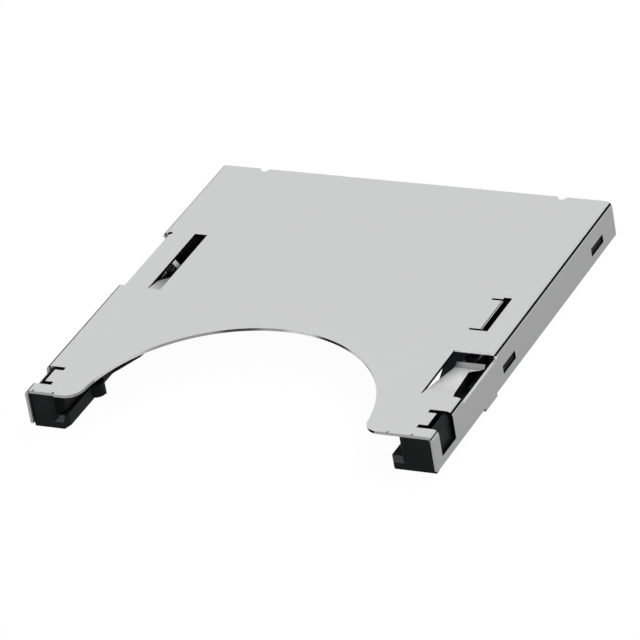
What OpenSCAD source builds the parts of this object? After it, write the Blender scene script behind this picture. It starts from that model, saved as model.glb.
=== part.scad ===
// Push-push socket for a full-size memory card: push to latch the card, push again to release it.
// X runs across the card, Y from the card mouth to the contacts, Z up from the board.
// The origin is the middle of the footprint, on the board.

/* [Cover sheet] */
// Room beside the card for its guides and the push mechanism, on each side
side_room = 2.45; // [2.3:0.05:3]
// Length of the cover from the mouth edge to the rear edge
cover_l = 29.3; // [28.8:0.1:33]
// Height of the cover's top face above the board
cover_h = 2.74; // [2.65:0.01:3.2]
// Thickness of the cover sheet
sheet_t = 0.2; // [0.12:0.01:0.22]
// Inside radius of the folds along both sides
fold_in = 0.2; // [0.05:0.01:0.3]
// Height of the side walls' lower edge above the board
wall_gap = 0.23; // [0.1:0.01:0.4]

/* [Finger cut-out] */
// Radius of the round cut-out at the mouth
finger_r = 10.1; // [7:0.1:10.3]
// Distance of its centre left of the middle
finger_off = 0.5; // [0:0.1:0.8]
// Distance of its centre behind the mouth edge
finger_y = 0.05; // [0.05:0.05:1]
// Radius that rounds its two corners at the mouth
finger_fillet = 1.1; // [0.4:0.1:1.4]

/* [Card] */
// Width of the card
card_w = 24; // [23.6:0.05:24.1]
// Thickness of the card
card_t = 2.1; // [2:0.05:2.15]
// Thickness of the card's thin rims, which ride on the ledges
rim_t = 1.4; // [1.35:0.05:1.45]
// Width of each thin rim, beside the card's thick middle
rim_w = 0.8; // [0.7:0.05:1]
// Length of the card's cut corner
card_chamfer = 4; // [3:0.1:4.5]
// Play between the card and its guides, on each side
card_play = 0.05; // [0.02:0.01:0.08]
// Height of the card's underside above the board
card_z = 0.2; // [0.18:0.01:0.24]

/* [Push mechanism] */
// Travel of the slider from card out to card latched
latch_travel = 5; // [4:0.1:5.4]
// Travel past the latched place, at the end of the push
over_travel = 0.8; // [0.5:0.1:1]
// Thickness of the cam pin's wire
pin_d = 0.3; // [0.24:0.02:0.32]
// Distance of the cam pin's pivot behind the mouth edge
pivot_y = 5.6; // [5.4:0.1:5.7]
// Length of the cam pin between its two bent ends
pin_len = 7.8; // [7.4:0.1:8]
// Distance of each lane of the heart track from the track's middle
lane_off = 0.42; // [0.38:0.01:0.44]
// Thickness of the eject spring's wire
spring_wire = 0.18; // [0.12:0.01:0.2]
// Number of turns of the eject spring
spring_turns = 16; // [10:1:20]

/* [Contacts] */
// Distance between neighbouring contacts 9 and 1 to 6
contact_pitch = 2.5; // [2.3:0.05:2.6]
// Width of a contact strip
contact_w = 0.8; // [0.5:0.05:1]
// Thickness of a contact strip
contact_t = 0.15; // [0.1:0.01:0.18]
// How far the contact bumps stand above the card's contact pads when no card is in
contact_lift = 0.35; // [0.2:0.05:0.45]
// Length of the solder tails behind the cover
tail_out = 1; // [0.6:0.1:1.6]

/* [Housing] */
// Thickness of the housing's floor
floor_t = 0.15; // [0.12:0.01:0.16]
// Thickness of the block that holds the contacts
block_t = 1.15; // [1:0.05:1.6]
// Thickness of the outer wall beside the slider
rail_t = 0.3; // [0.25:0.01:0.35]
// Distance of the housing's front face behind the mouth edge
front_inset = 0.12; // [0.05:0.01:0.3]
// Clearance between the housing and the cover, and around the contacts
fit = 0.05; // [0.02:0.01:0.08]
// Clearance around the sliding and swinging pieces
run = 0.05; // [0.03:0.01:0.08]

/* [Hidden] */
$fn = 48;
steel = "#c9cacb";
black = "#1c1d1e";
gold = "#d8b25a";
spring_steel = "#b9bbbd";
moulding_grey = "#2b2c2e";
over = 1; // how far a cut runs past the face it opens

// Cover: outside and inside faces
half_w = card_w / 2 + side_room;
fold_r = fold_in + sheet_t;
wall_in = half_w - sheet_t;
roof = cover_h - sheet_t;
// Card path: guides, ledges and the place of the card's leading edge
guide_x = card_w / 2 + card_play;
ledge_z = card_z + card_t - rim_t;
rear_inset = 0.15;
stop_y = cover_l - rear_inset - block_t;
push_travel = latch_travel + over_travel;
arm_back = stop_y - push_travel - 4 * run;
arm_in = card_w / 2 - 0.7 * card_chamfer;
// Housing outside
body_x = wall_in - fit;
body_top = roof - fit / 2;
body_back = cover_l - rear_inset;
ledge_left = guide_x - 0.25 * rim_w;
ledge_right = guide_x - rim_w;
// Slider channel, between the card and the housing's outer wall
chan_out = body_x - rail_t;
slide_out = chan_out - run;
slide_low = floor_t + run;
slide_top = roof - 3 * run;
foot_in = ledge_right + 7 * run;
foot_top = ledge_z - run;
lock_t = 0.12;
lock_x = guide_x + 0.6 * run;
body_in = lock_x + lock_t + 5.5 * run;
// Cam pin, and the leaf that presses on it
pin_z = 1.4;
leaf_under = pin_z + pin_d / 2 + 0.4 * run;
lock_low = ledge_z + 2 * run;
lock_high = leaf_under - 1.6 * run;
// Heart track in the slider
lane_w = pin_d + 2 * run;
track_wall = 0.18;
lane_2 = slide_out - track_wall - lane_w / 2;
track_x = lane_2 - lane_off;
lane_1 = track_x - lane_off;
track_floor = slide_low + 4 * run;
track_half = lane_off + lane_w / 2;
tip_y = pivot_y + pin_len;
track_back = tip_y + lane_w / 2;
track_front = tip_y - push_travel - lane_w / 2;
slide_front = track_front - 2 * track_wall;
// Slider's upper body, spring seat and card arm
block_y = track_back + 2.5 * track_wall;
seat_y = block_y + 3.2;
link_t = 0.32;
link_in = guide_x + run;
link_out = link_in + link_t;
// Eject spring, centred in its part of the channel
spring_gap = 0.09;
spring_d = slide_out - link_out - 2 * spring_gap;
spring_x = (slide_out + link_out) / 2;
spring_z = 1.25;
boss_d = spring_d - 2 * spring_wire - 4 * run;
boss_l = 0.9;
// Contacts: cross positions, counted from the cut corner's side
first_in = 2.025;
first_x = card_w / 2 - first_in;
pitch_7 = 2.425;
pitch_8 = 1.7;
contact_root_z = 0.5;
bump_z = ledge_z + contact_lift - contact_t / 2;
arm_l = 3.75;
// Middle of the footprint, measured from the mouth edge
front_step = 0.1;
middle_y = (cover_l + tail_out - front_step) / 2;

// Direction of a vector
function unit(v) = v / norm(v);
// A vector turned a quarter turn to its left
function left_of(v) = [-v[1], v[0]];
// The arc of radius r that rounds corner b between a and c, as n + 1 points
function corner(a, b, c, r, n) =
    let (u = unit(a - b), v = unit(c - b), half = acos(u * v) / 2,
         m = b + unit(u + v) * r / sin(half),
         p = b + u * r / tan(half) - m, q = b + v * r / tan(half) - m,
         from = atan2(p[1], p[0]), turn = atan2(q[1], q[0]) - from,
         sweep = turn > 180 ? turn - 360 : turn < -180 ? turn + 360 : turn)
    [for (i = [0:n]) m + r * [cos(from + sweep * i / n), sin(from + sweep * i / n)]];
// A path whose inner corners are rounded with radius r
function rounded(path, r, n = 4) =
    [path[0], for (i = [1:len(path) - 2]) each corner(path[i - 1], path[i], path[i + 1], r, n),
     path[len(path) - 1]];
// Mitred sideways step at point i of a path
function side(path, i) =
    let (last = len(path) - 1, a = left_of(unit(path[min(i + 1, last)] - path[min(i, last - 1)])),
         b = left_of(unit(path[max(i, 1)] - path[max(i - 1, 0)])), s = unit(a + b))
    s / (s * a);
// Outline of a strip of thickness t along a path
function ribbon(path, t) =
    concat([for (i = [0:len(path) - 1]) path[i] + side(path, i) * t / 2],
           [for (i = [len(path) - 1:-1:0]) path[i] - side(path, i) * t / 2]);

// Places a piece, drawn from the mouth edge, in the part's own frame
module placed() translate([0, -middle_y, 0]) children();
// A box given by its low and high corners
module block(a, b) translate(a) cube(b - a);
// A prism along Z over a plan outline
module prism(z0, z1) translate([0, 0, z0]) linear_extrude(z1 - z0) children();
// A prism along Y over an outline drawn in X and Z
module along_y(y0, y1) translate([0, y1, 0]) rotate([90, 0, 0]) linear_extrude(y1 - y0) children();
// A prism along X over an outline drawn in Y and Z
module along_x(x0, x1)
    translate([x0, 0, 0]) rotate([90, 0, 90]) linear_extrude(x1 - x0) children();
// The same on both sides of the socket
module both_sides() {
    children();
    mirror([1, 0, 0]) children();
}

/* [Hidden] */
// Corner notches of the cover and the tabs folded down in them
notch_y0 = 0.93;
notch_y1 = 3.05;
notch_z = 0.8;
slit_w = 0.36;
slit_in = half_w - 1.5;
tab_x = half_w - 0.89;
tab_z = 1.3;
// Window of the pressing leaf
win_x = half_w - 2.87;
win_y0 = pivot_y - 0.9;
win_l = 5.35;
win_y1 = win_y0 + win_l;
// Slot of the card guide tab
brace_arm = 0.2;
brace_l = 4.1;
brace_y0 = win_y1 + 2.37;
brace_y1 = brace_y0 + brace_l;
brace_x = guide_x + 0.17;
brace_in = guide_x - 0.58;
brace_out = guide_x + 0.74;
guide_tab_z = 1.9;
// Slot over the card switches
slot_x0 = -guide_x - 0.04;
slot_x1 = -guide_x + 0.89;
slot_y0 = stop_y - 14.8;
slot_y1 = stop_y - 7.66;
// Stretch of the left side that has no wall
gap_y0 = slot_y0 + 0.12;
gap_y1 = slot_y1 - 0.2;
gap_inset = 0.6;
// Latch windows in the side walls, as distances of their middles from the mouth edge
latch_y = [pivot_y + 6, stop_y - 1.7];
latch_w = 1.96;
latch_z0 = 0.84;
latch_z1 = 1.43;
// Solder feet of the walls
foot_w = 1.85;
foot_y = pivot_y + 1.87;
foot_rear_y = stop_y - 5.7;
// Nicks in the rear edge, and marks where the strip carrier was cut off the mouth edge
nick = 0.34;
nick_x = [-guide_x + 0.95, guide_x - 1.1];
carrier_x = [-half_w + 0.62, -half_w + 2.1, half_w - 3.1, half_w - 1.43];
carrier_w = 0.16;

// Section of the folded sheet, a roof with two side walls
module sheet_section() {
    module arch(half, top, r) {
        translate([-half, wall_gap]) square([2 * half, top - r - wall_gap]);
        translate([r - half, wall_gap]) square([2 * (half - r), top - wall_gap]);
        for (s = [-1, 1]) translate([s * (half - r), top - r]) circle(r);
    }
    difference() {
        arch(half_w, cover_h, fold_r);
        translate([0, -over]) square([2 * wall_in, 2 * over], center = true);
        arch(wall_in, roof, fold_r - sheet_t);
        translate([-wall_in, wall_gap - over]) square([2 * wall_in, 2 * over]);
    }
}

// Round cut-out at the mouth, with its corners rounded into the mouth edge
module finger_plan() {
    c = [-finger_off, finger_y];
    bite = 0.002; // how far the arcs cross, so that they don't only touch
    translate(c) circle(finger_r, $fn = 180);
    for (s = [-1, 1]) {
        y = s < 0 ? finger_fillet - front_step : finger_fillet;
        reach = sqrt((finger_r + finger_fillet - bite) ^ 2 - (y - finger_y) ^ 2);
        f = [c[0] + s * reach, y];
        difference() {
            polygon([c, [c[0], -over], [f[0], -over], f]);
            translate(f) circle(finger_fillet);
        }
    }
}

// Notch through the fold at a front corner, with the two slits that free its tab
module corner_notch() {
    prism(notch_z, cover_h + over) {
        translate([slit_in, notch_y0]) square([half_w + over - slit_in, slit_w]);
        translate([slit_in, notch_y1 - slit_w]) square([half_w + over - slit_in, slit_w]);
        translate([tab_x, notch_y0]) square([half_w + over - tab_x, notch_y1 - notch_y0]);
    }
}

// Tab of sheet folded down from the top plate, outer face at x, lower end at z
module folded_tab(x, z, y0, y1) {
    mid = sheet_t / 2;
    path = [[x - 2 * sheet_t, cover_h - mid], [x - mid, cover_h - mid], [x - mid, z]];
    along_y(y0, y1) polygon(ribbon(rounded(path, mid + 0.05, 5), sheet_t));
}

// Leaf that presses on the cam pin: it slopes down to the rear and its end turns up
module press_leaf() {
    mid = sheet_t / 2;
    low = leaf_under + mid;
    lip = [0.42, 0.26];
    tip = win_y1 - 0.15;
    left = win_x + 0.13;
    right = half_w - 0.73;
    neck = half_w - 1.5;
    path = [[win_y0 - 2 * sheet_t, roof + mid], [win_y0 + 4 * mid, roof + mid],
            [tip - lip[0], low], [tip - mid, low + lip[1]]];
    intersection() {
        along_x(win_x, half_w) polygon(ribbon(rounded(path, 2.2 * sheet_t, 5), sheet_t));
        prism(0, cover_h + over)
            polygon([[left - mid, win_y0 - mid], [left, win_y0 + 3 * mid], [left, tip + mid],
                     [right, tip + mid], [right, tip - lip[0]], [neck, tip - 2.6 * lip[0]],
                     [right + mid, win_y0 - mid]]);
    }
}

// Tongue at the front end of the left slot, bent down towards the right and the rear
module slot_tongue() {
    turn = 54;
    drop = 15;
    front = 0.25;
    gap = 0.04;
    reach = [1.28, 2.4, 2.7];
    intersection() {
        prism(0, cover_h)
            polygon([[slot_x0 + gap, slot_y0 - front], [slot_x1 - gap, slot_y0 - front],
                     [slot_x1 - gap, slot_y0 + reach[2]], [slot_x1 - 10 * gap, slot_y0 + reach[1]],
                     [slot_x0 + gap, slot_y0 + reach[0]]]);
        translate([slot_x0 + gap, slot_y0, cover_h])
            rotate([0, 0, -turn]) rotate([-drop, 0, 0]) rotate([0, 0, turn])
                block([-reach[1], -reach[1], -sheet_t], [reach[1], reach[2] + front, 0]);
    }
}

module shell() color(steel) placed() {
    difference() {
        union() {
            along_y(0, cover_l) sheet_section();
            // Stretch of the mouth edge between a mark and the cut-out, which stands a little forward
            block([carrier_x[1] + carrier_w / 2, -front_step, roof],
                  [-finger_off - finger_r, carrier_w, cover_h]);
        }
        prism(roof - over, cover_h + over) finger_plan();
        both_sides() corner_notch();
        // Window of the pressing leaf, through the fold down to the straight wall
        block([win_x, win_y0, cover_h - fold_r - 0.04], [half_w + over, win_y1, cover_h + over]);
        // Slot around the card guide tab
        prism(roof - over, cover_h + over) {
            for (y = [brace_y0, brace_y1 - 2 * brace_arm])
                translate([brace_in, y]) square([brace_out - brace_in, brace_arm]);
            translate([brace_x, brace_y0]) square([brace_out - brace_x, brace_l]);
        }
        // Slot over the switches
        prism(roof - over, cover_h + over)
            translate([slot_x0, slot_y0]) square([slot_x1 - slot_x0, slot_y1 - slot_y0]);
        // Open stretch of the left side, with a relief at its rear end
        block([-half_w - over, gap_y0, -over], [-half_w + gap_inset, gap_y1, cover_h + over]);
        block([-half_w - over, gap_y1 - over, -over],
              [-half_w + gap_inset, gap_y1 + sheet_t, cover_h - fold_r]);
        prism(roof - over, cover_h + over)
            translate([-half_w + gap_inset, gap_y1]) circle(0.8 * sheet_t);
        // Nicks in the rear edge
        for (x = nick_x) prism(roof - over, cover_h + over) translate([x, cover_l])
            polygon([[-nick, over], [-nick, 0], [-nick * 0.45, -nick], [nick * 0.45, -nick],
                     [nick, 0], [nick, over]]);
        // Marks where the strip carrier was cut off
        for (x = carrier_x) block([x - carrier_w / 2, -over, cover_h - sheet_t / 2],
                                  [x + carrier_w / 2, carrier_w, cover_h + over]);
        // Latch windows
        for (s = [-1, 1], y = latch_y)
            block([min(s * (wall_in - over), s * (half_w + over)), y - latch_w / 2, latch_z0],
                  [max(s * (wall_in - over), s * (half_w + over)), y + latch_w / 2, latch_z1]);
    }
    both_sides() folded_tab(tab_x, tab_z, notch_y0 + slit_w, notch_y1 - slit_w);
    folded_tab(brace_x + sheet_t, guide_tab_z, brace_y0 + brace_arm, brace_y1 - 2 * brace_arm);
    press_leaf();
    slot_tongue();
    // Solder feet, straight down from the walls
    both_sides() block([wall_in, foot_y, 0], [half_w, foot_y + foot_w, 2 * wall_gap]);
    block([-half_w, foot_rear_y, 0], [-wall_in, foot_rear_y + foot_w, 2 * wall_gap]);
}

// Outline of the open bay between the card rails, in plan; behind the boss it reaches the left guide
bay_back = stop_y - 12.8;
boss_y = pivot_y - 1.05;
module bay_plan() {
    left = [ledge_left - 0.1, ledge_left - 0.75, ledge_left - 0.85, ledge_left - 1.6];
    right = [ledge_right - 1.1, ledge_right - 1.7, ledge_right - 2.05];
    path = [[-ledge_left, -over], [-ledge_left, boss_y], [-guide_x, boss_y], [-guide_x, boss_y + 2.4],
            [-left[0], boss_y + 3.1], [-left[1], boss_y + 4.7], [-left[2], boss_y + 5.5],
            [-left[3], bay_back], [right[2], bay_back], [right[1], bay_back - 3.3],
            [right[0], bay_back - 5.6], [ledge_right, pivot_y + 0.7], [ledge_right, -over]];
    polygon(rounded(path, 0.8, 6));
}

// Switch pocket in the left rail
pocket_y0 = slot_y0 - 0.1;
pocket_y1 = slot_y1 + 0.15;
pocket_x0 = -chan_out;
pocket_x1 = -guide_x - 0.3;
switch_t = 0.12;
wp_y = slot_y0 + 3.85;
wp_w = 0.45;
blade_x = pocket_x1 - 0.75;
terminal_x = pocket_x0 + 0.25;
tail_w = 0.6;
detect_tail_y = pocket_y1 - 0.95;
terminal_tail_y = pocket_y0 + 0.6;

// Front end of a card rail: guide wall with a rounded lead-in, and the ledge with a sloped one
module rail_end(ledge_x, y1, lead_r, nib) {
    y0 = front_inset;
    slope = [0.2, 0.42];
    prism(0, body_top) difference() {
        translate([guide_x, y0]) square([body_x - guide_x, y1 - y0]);
        difference() {
            translate([guide_x - over, y0 - over]) square([lead_r + over, lead_r + over]);
            translate([guide_x + lead_r, y0 + lead_r]) circle(lead_r);
        }
    }
    intersection() {
        along_x(ledge_x, body_x)
            polygon([[y0, 0], [y1, 0], [y1, ledge_z], [y0 + slope[0], ledge_z],
                     [y0, ledge_z - slope[1]]]);
        prism(0, ledge_z)
            polygon([[ledge_x + nib[0], y0], [ledge_x, y0 + nib[1]], [ledge_x, y1], [body_x, y1],
                     [body_x, y0]]);
    }
}

// Lug that shows in a corner notch of the cover, just inside the wall
module corner_lug() {
    r = 0.35;
    gap = 0.06;
    in = tab_x + 3 * gap;
    out = half_w - 0.33;
    low = notch_z + gap;
    high = cover_h - 2 * gap;
    along_y(notch_y0 + gap, notch_y1 - 2 * gap) {
        translate([in, low]) square([out - in - r, high - low]);
        translate([in, low]) square([out - in, high - low - r]);
        translate([out - r, high - r]) circle(r);
    }
}

// Wedge that snaps into a latch window
module latch_bump(y) {
    gap = 0.06;
    proud = 0.1;
    along_y(y - latch_w / 2 + gap, y + latch_w / 2 - gap)
        polygon([[body_x - proud, latch_z0 + gap], [wall_in + proud, latch_z0 + gap],
                 [wall_in + proud, latch_z1 - 5 * gap], [body_x - proud, latch_z1 - gap]]);
}

// Places of the contacts across the socket, contact 9 first, then 1 to 8
contact_x = [for (i = [0:6]) first_x - i * contact_pitch,
             first_x - 6 * contact_pitch - pitch_7, first_x - 6 * contact_pitch - pitch_7 - pitch_8];
contact_front = stop_y - 1.15 - arm_l;

// Rails, floor and contact block, inside the cover
module housing_body() {
    corner_cut = fold_in + fit;
    lap = 0.1;
    pillar = 0.22;
    difference() {
        union() {
            // Thin floor with the open bay
            prism(0, floor_t) difference() {
                translate([-body_x, boss_y - 2.5]) square([2 * body_x, body_back - boss_y + 2.5]);
                bay_plan();
            }
            // Left rail and its ledge, cut back to the guide behind the boss that carries the card's rim
            difference() {
                mirror([1, 0, 0]) rail_end(ledge_left, stop_y + lap, 0.8, [0.2, 0.54]);
                prism(-over, ledge_z + over)
                    polygon([[-guide_x, boss_y], [over - ledge_left, boss_y],
                             [over - ledge_left, boss_y + 5.2], [-guide_x, boss_y + 2.4]]);
            }
            translate([-ledge_left - lap, boss_y, 0]) cylinder(h = ledge_z, r = 0.6);
            // Right front block, low behind for the cam pin's pivot
            rail_end(ledge_right, win_y0 - pillar, 0.12, [0.16, 0.22]);
            block([ledge_right, win_y0 - pillar - lap, 0], [body_x, pivot_y + 3 * pillar, ledge_z]);
            block([guide_x, win_y0 - pillar - lap, 0],
                  [body_x, pivot_y + 3 * pillar, pin_z - pin_d / 2 - 2 * run]);
            // Ledge behind the slider, outer wall beside it
            block([ledge_right, seat_y + push_travel + 4 * run, 0], [guide_x, stop_y + lap, ledge_z]);
            difference() {
                block([chan_out, pivot_y, 0], [body_x, stop_y + lap, body_top]);
                block([chan_out - over, 0, leaf_under], [body_x + over, win_y1, cover_h]);
            }
            // Block that holds the contacts
            block([-body_x, stop_y, 0], [body_x, body_back, body_top]);
        }
        // Room for the folds of the cover
        both_sides() along_y(-over, cover_l) translate([body_x - corner_cut, body_top - corner_cut])
            difference() {
                square(corner_cut + lap);
                circle(corner_cut);
            }
    }
}

module housing() color(black) placed() {
    difference() {
        union() {
            housing_body();
            // Spring boss on the contact block
            translate([spring_x, stop_y + boss_l / 9, spring_z]) rotate([90, 0, 0])
                cylinder(h = boss_l, d = boss_d);
            both_sides() corner_lug();
            // Small foot under the right wall
            block([body_x - fold_r, front_inset, 0], [wall_in + fit, front_inset + fold_r, 0.85 * wall_gap]);
            both_sides() for (y = latch_y) latch_bump(y);
        }
        // Recesses beside the lugs for the folded tabs of the cover
        both_sides() block([tab_x - sheet_t - fit, notch_y0 - fit, tab_z - 2 * fit],
                           [tab_x + 6 * fit, notch_y1 + fit, cover_h + over]);
        // Bore of the cam pin
        translate([lane_1, pivot_y, floor_t + 2 * run])
            cylinder(h = cover_h, d = pin_d + run, $fn = 32);
        // Slots of the contacts through the block, and windows under their free ends
        for (x = contact_x) {
            block([x - contact_w / 2 - fit / 2, stop_y - over, contact_root_z - contact_t / 2 - fit / 2],
                  [x + contact_w / 2 + fit / 2, body_back + over, contact_root_z + contact_t / 2 + fit / 2]);
            block([x - contact_w / 2 - 4 * fit, contact_front - 8 * fit, -over],
                  [x + contact_w / 2 + 4 * fit, contact_front + arm_l, floor_t + over]);
        }
        // Switch pocket, its window to the card, and the ways out for the switch tails
        block([pocket_x0, pocket_y0, floor_t], [pocket_x1, pocket_y1, cover_h + over]);
        block([pocket_x1 - over, slot_y0, ledge_z], [-guide_x + over, wp_y + 2 * wp_w, cover_h + over]);
        for (y = [[wp_y, wp_w], [detect_tail_y, tail_w], [terminal_tail_y, tail_w]])
            block([-body_x - over, y[0] - fit, -over], [pocket_x1 - fit, y[0] + y[1] + fit, floor_t + fit]);
    }
}

// Plan of the heart-shaped island: a point to the rear, two lobes and the latching notch in front
module heart_plan() {
    half = lane_off - lane_w / 2;
    lobe = half / 2;
    point = 0.06;
    y0 = tip_y - latch_travel + 5 * run;
    y1 = y0 + 0.68 * latch_travel;
    y2 = y0 + 0.24 * latch_travel;
    difference() {
        union() {
            for (s = [-1, 1]) translate([s * lobe, y0]) circle(lobe, $fn = 32);
            polygon([[-half, y0], [half, y0], [half, y2], [point, y1], [-point, y1], [-half, y2]]);
        }
        translate([0, y0 - lobe * 0.8]) circle(lobe * 0.9, $fn = 32);
    }
}

module slider() color(moulding_grey) placed() {
    root_y = seat_y - 0.6;
    arm_t = 1;
    difference() {
        union() {
            // Track plate, low enough for the card's rim to pass above it
            block([foot_in, slide_front, slide_low], [slide_out, seat_y, foot_top]);
            // Upper body, the seat of the spring
            block([body_in, block_y, slide_low], [slide_out, seat_y, slide_top]);
            // Link beside the spring, from the body to the arm
            block([link_in, root_y, slide_low], [link_out, arm_back, slide_top]);
            // Arm behind the card's cut corner
            prism(bump_z + contact_t / 2 + 4 * run, slide_top)
                polygon([[link_out, arm_back], [arm_in, arm_back], [arm_in, arm_back - arm_t],
                         [link_in, arm_back - arm_t - (link_in - arm_in)],
                         [link_out, arm_back - arm_t - (link_in - arm_in)]]);
            // Peg inside the spring
            translate([spring_x, seat_y + boss_l, spring_z]) rotate([90, 0, 0])
                cylinder(h = 1.1 * boss_l, d = boss_d);
        }
        // Heart track: two lanes joined at both ends around the island
        prism(track_floor, slide_top) difference() {
            polygon(rounded([[track_x, track_front], [track_x - track_half, track_front],
                             [track_x - track_half, track_back], [track_x + track_half, track_back],
                             [track_x + track_half, track_front], [track_x, track_front]],
                            0.45 * lane_w, 4));
            translate([track_x, 0]) heart_plan();
        }
        // Slot for the root of the card lock
        block([lock_x - fit, block_y + 6 * track_wall, lock_low - fit],
              [body_in + 3 * lock_t, root_y, lock_high + fit]);
    }
}

// Sprung blade beside the card: its root sits in the slider, its hook drops into the card's side notch
module card_lock() color(spring_steel) placed() {
    notch_back = 11;
    hook = [0.62, 1];
    hook_y = arm_back - notch_back + 2 * run;
    x = lock_x + lock_t / 2;
    root_x = body_in + 2 * lock_t;
    front = block_y + 6 * track_wall + lock_t;
    path = [[root_x, seat_y - 0.6 - lock_t], [root_x, front + lock_t], [x, front - lock_t],
            [x, hook_y + hook[1]], [x - hook[0], hook_y + lock_t], [x - 0.8 * hook[0], hook_y - 2 * lock_t],
            [x - lock_t / 2, hook_y - 0.75 * hook[1]]];
    prism(lock_low, lock_high) polygon(ribbon(rounded(path, 0.8 * lock_t, 4), lock_t));
}

// Bent wire: one end down in the housing's bore, the other down in the heart track
module cam_pin() {
    r = pin_d;
    module leg(y, z0) translate([lane_1, y, z0]) cylinder(h = pin_z - r - z0, d = pin_d, $fn = 24);
    module bend() rotate([90, 0, 90]) rotate_extrude(angle = 90, $fn = 24)
        translate([r, 0]) circle(d = pin_d, $fn = 24);
    color(spring_steel) placed() {
        leg(pivot_y, floor_t + 3 * run);
        leg(tip_y, track_floor + run);
        translate([lane_1, tip_y - r, pin_z - r]) bend();
        translate([lane_1, pivot_y + r, pin_z - r]) mirror([0, 1, 0]) bend();
        translate([lane_1, tip_y - r, pin_z]) rotate([90, 0, 0])
            cylinder(h = pin_len - 2 * r, d = pin_d, $fn = 24);
    }
}

// Coil spring along Y with one closed turn at each end
module eject_spring() {
    sides = 6;
    per_turn = 12;
    r = (spring_d - spring_wire) / 2;
    y0 = seat_y + spring_wire * 0.55;
    y1 = stop_y - spring_wire * 0.55;
    closed = spring_wire * 1.04;
    open = (y1 - y0 - 2 * closed) / (spring_turns - 2);
    rings = spring_turns * per_turn;
    function rise(t) = t < 1 ? t * closed
        : t > spring_turns - 1 ? y1 - y0 - (spring_turns - t) * closed : closed + (t - 1) * open;
    points = [for (i = [0:rings], k = [0:sides - 1])
        let (a = 360 * i / per_turn, b = 360 * k / sides, q = r + spring_wire / 2 * cos(b))
        [spring_x + q * cos(a), y0 + rise(i / per_turn) + spring_wire / 2 * sin(b), spring_z + q * sin(a)]];
    faces = concat(
        [for (i = [0:rings - 1], k = [0:sides - 1])
            let (n = (k + 1) % sides, a = i * sides, b = a + sides)
            each [[a + k, a + n, b + n], [a + k, b + n, b + k]]],
        [[for (k = [sides - 1:-1:0]) k]],
        [[for (k = [0:sides - 1]) rings * sides + k]]);
    color(spring_steel) placed() polyhedron(points, faces, convexity = 10);
}

// Contact strip: solder tail, step up into the block, sprung arm with its bump and turned-down nose
module contact(i, reach) color(gold) placed() {
    mid = contact_t / 2;
    crown = 0.35;
    nose = [0.9, 0.38];
    bump_y = contact_front + 1.15 - reach;
    path = [[cover_l + tail_out, mid], [body_back + 0.55 * tail_out, mid],
            [body_back + 0.25 * tail_out, contact_root_z], [stop_y - 2 * contact_t, contact_root_z],
            [bump_y + crown, bump_z - mid / 2], [bump_y, bump_z], [bump_y - crown, bump_z - mid / 2],
            [bump_y - nose[0], bump_z - nose[1]]];
    along_x(contact_x[i] - contact_w / 2, contact_x[i] + contact_w / 2)
        polygon(ribbon(rounded(path, 1.07 * contact_t, 3), contact_t));
}

// Blade of the card-detect switch, on edge, with a bump to the card and a tail to the board
module detect_spring() color(spring_steel) placed() {
    bump = [1.3, 2.3];
    low = ledge_z + 2 * run;
    high = low + 4 * switch_t;
    path = [[blade_x, detect_tail_y + tail_w], [blade_x, pocket_y0 + 4.3],
            [blade_x + 0.15 * bump[0], pocket_y0 + 3.3], [blade_x + bump[0], pocket_y0 + 1.1 * bump[1]],
            [blade_x + bump[0], pocket_y0 + 0.92 * bump[1]], [blade_x + 0.2 * bump[0], pocket_y0 + 1.35],
            [blade_x - 0.2 * bump[0], pocket_y0 + 1.15]];
    prism(low, high) polygon(ribbon(rounded(path, 1.2 * switch_t, 4), switch_t));
    block([blade_x - switch_t / 2, detect_tail_y, 0],
          [blade_x + switch_t / 2, detect_tail_y + tail_w, low + switch_t]);
    block([-half_w, detect_tail_y, 0], [blade_x, detect_tail_y + tail_w, switch_t]);
}

// Blade of the write-protect switch: an upright, an arch over the pocket and a curved end at the card
module write_protect_spring() color(spring_steel) placed() {
    mid = switch_t / 2;
    stem = pocket_x0 + 0.2;
    top = roof - mid - run;
    path = [[-half_w, mid], [stem, mid], [stem, top - 0.35], [stem + 0.45, top],
            [slot_x0 - 0.25, top], [slot_x0 + 0.15, top - 0.5], [slot_x0 + 0.2, top - 0.95]];
    along_y(wp_y, wp_y + wp_w) polygon(ribbon(rounded(path, 1.2 * switch_t, 4), switch_t));
}

// Fixed terminal that the detect blade closes on
module switch_terminal() color(gold) placed() {
    x0 = terminal_x - switch_t / 2;
    x1 = terminal_x + switch_t / 2;
    block([x0, terminal_tail_y, floor_t], [x1, terminal_tail_y + 4 * tail_w, ledge_z + 0.75]);
    block([x0, terminal_tail_y, 0], [x1, terminal_tail_y + tail_w, 2 * floor_t]);
    block([-half_w, terminal_tail_y, 0], [terminal_x, terminal_tail_y + tail_w, switch_t]);
}

shell();
housing();
slider();
card_lock();
cam_pin();
eject_spring();
contact(1, 0);  // contact_1
contact(2, 0);  // contact_2
contact(3, 0.6);  // contact_3
contact(4, 0.6);  // contact_4
contact(5, 0);  // contact_5
contact(6, 0.6);  // contact_6
contact(7, 0);  // contact_7
contact(8, 0);  // contact_8
contact(0, 0);  // contact_9
detect_spring();
write_protect_spring();
switch_terminal();
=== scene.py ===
"""Looks of a push-push memory card socket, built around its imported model.

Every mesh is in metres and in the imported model's frame: X across the card, Y from the
card mouth to the contacts, Z up from the board, with the origin on the board.
"""

import logging
import math
from collections.abc import Sequence
from dataclasses import dataclass, field
from enum import Enum
from typing import TypeAlias

import bmesh
import bpy
from bmesh.types import BMesh, BMLoop
from bpy.types import ID, Material, Mesh, Node, NodeSocket, NodeTree, Object, World
from mathutils import Matrix, Vector


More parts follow.
